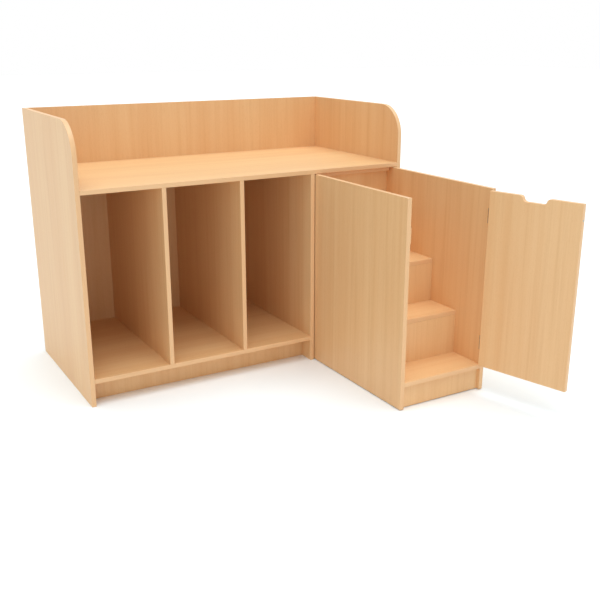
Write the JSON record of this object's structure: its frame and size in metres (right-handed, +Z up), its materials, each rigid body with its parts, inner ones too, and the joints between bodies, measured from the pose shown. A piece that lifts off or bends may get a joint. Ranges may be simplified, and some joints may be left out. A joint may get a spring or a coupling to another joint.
{
  "type": "changing cabinet with pull-out steps",
  "caption": "Nursery changing cabinet with open storage bays under a railed worktop, and a door-fronted step unit that rolls out so a child can climb up.",
  "frame": {"origin": "middle of the cabinet's back face, at floor level", "axes": "+X to the right seen from the front, +Y from the front towards the wall, +Z up"},
  "size_m": [1.5103, 1.7322, 1.098],
  "materials": {
    "board": "satin melamine-faced board with a light maple grain, edges lipped in the same decor",
    "beech": "plain turned beech",
    "zinc": "bright zinc-plated steel",
    "steel": "satin steel",
    "white_plastic": "moulded white plastic",
    "grey_plastic": "moulded grey plastic",
    "rubber": "matt grey rubber"
  },
  "bodies": {
    "cabinet": {"left_end_panel": "board", "right_end_panel": "board", "back_panel": "board", "worktop": "board", "bottom_shelf": "board", "left_divider": "board", "right_divider": "board", "division_panel": "board", "plinth": "board", "stop_batten": "board", "batten_screws": "zinc", "cam_housings": "zinc", "cam_bolts": "zinc", "cabinet_dowels": "beech", "back_screws": "zinc", "divider_screws": "zinc", "plinth_blocks": "white_plastic", "plinth_block_screws": "zinc", "rubber_buffers": "rubber"},
    "step_unit": {"unit_left_side": "board", "unit_right_side": "board", "unit_back": "board", "unit_plinth": "board", "first_tread": "board", "second_tread": "board", "third_tread": "board", "fourth_tread": "board", "second_riser": "board", "third_riser": "board", "fourth_riser": "board", "step_dowels": "beech", "castor_brackets": "zinc", "castor_screws": "steel", "castor_axles": "steel", "axle_nuts": "steel", "side_hinge_leaves": "steel", "side_leaf_screws": "steel", "hinge_pins": "zinc", "door_stop": "board", "door_stop_screws": "zinc", "keeper_plate": "steel", "keeper_screws": "steel"},
    "door": {"door": "board", "door_hinge_leaves": "steel", "door_leaf_screws": "steel", "door_magnet": "steel"},
    "front_left_castor_wheel": {"front_left_wheel": "grey_plastic", "front_left_tyre": "rubber"},
    "front_right_castor_wheel": {"front_right_wheel": "grey_plastic", "front_right_tyre": "rubber"},
    "rear_left_castor_wheel": {"rear_left_wheel": "grey_plastic", "rear_left_tyre": "rubber"},
    "rear_right_castor_wheel": {"rear_right_wheel": "grey_plastic", "rear_right_tyre": "rubber"}
  },
  "joints": [
    {"name": "step_unit_slide", "type": "slide", "parent": "cabinet", "child": "step_unit", "axis": [0, 1, 0], "range_m": [0, 0.634]},
    {"name": "door_hinge", "type": "hinge", "parent": "step_unit", "child": "door", "pos_m": [0.6888, -1.358, 0.4715], "axis": [0, 0, 1], "range_deg": [-104.5, 75.5]},
    {"name": "front_left_wheel_spin", "type": "hinge", "parent": "step_unit", "child": "front_left_castor_wheel", "pos_m": [0.366, -1.249, 0.0375], "axis": [1, 0, 0], "continuous": true},
    {"name": "front_right_wheel_spin", "type": "hinge", "parent": "step_unit", "child": "front_right_castor_wheel", "pos_m": [0.63, -1.249, 0.0375], "axis": [1, 0, 0], "continuous": true},
    {"name": "rear_left_wheel_spin", "type": "hinge", "parent": "step_unit", "child": "rear_left_castor_wheel", "pos_m": [0.366, -0.761, 0.0375], "axis": [1, 0, 0], "continuous": true},
    {"name": "rear_right_wheel_spin", "type": "hinge", "parent": "step_unit", "child": "rear_right_castor_wheel", "pos_m": [0.63, -0.761, 0.0375], "axis": [1, 0, 0], "continuous": true}
  ],
  "couplings": [
    {"joint": "front_left_wheel_spin", "follows": "step_unit_slide", "rad_per_m": -26.667},
    {"joint": "front_right_wheel_spin", "follows": "step_unit_slide", "rad_per_m": -26.667},
    {"joint": "rear_left_wheel_spin", "follows": "step_unit_slide", "rad_per_m": -26.667},
    {"joint": "rear_right_wheel_spin", "follows": "step_unit_slide", "rad_per_m": -26.667}
  ]
}
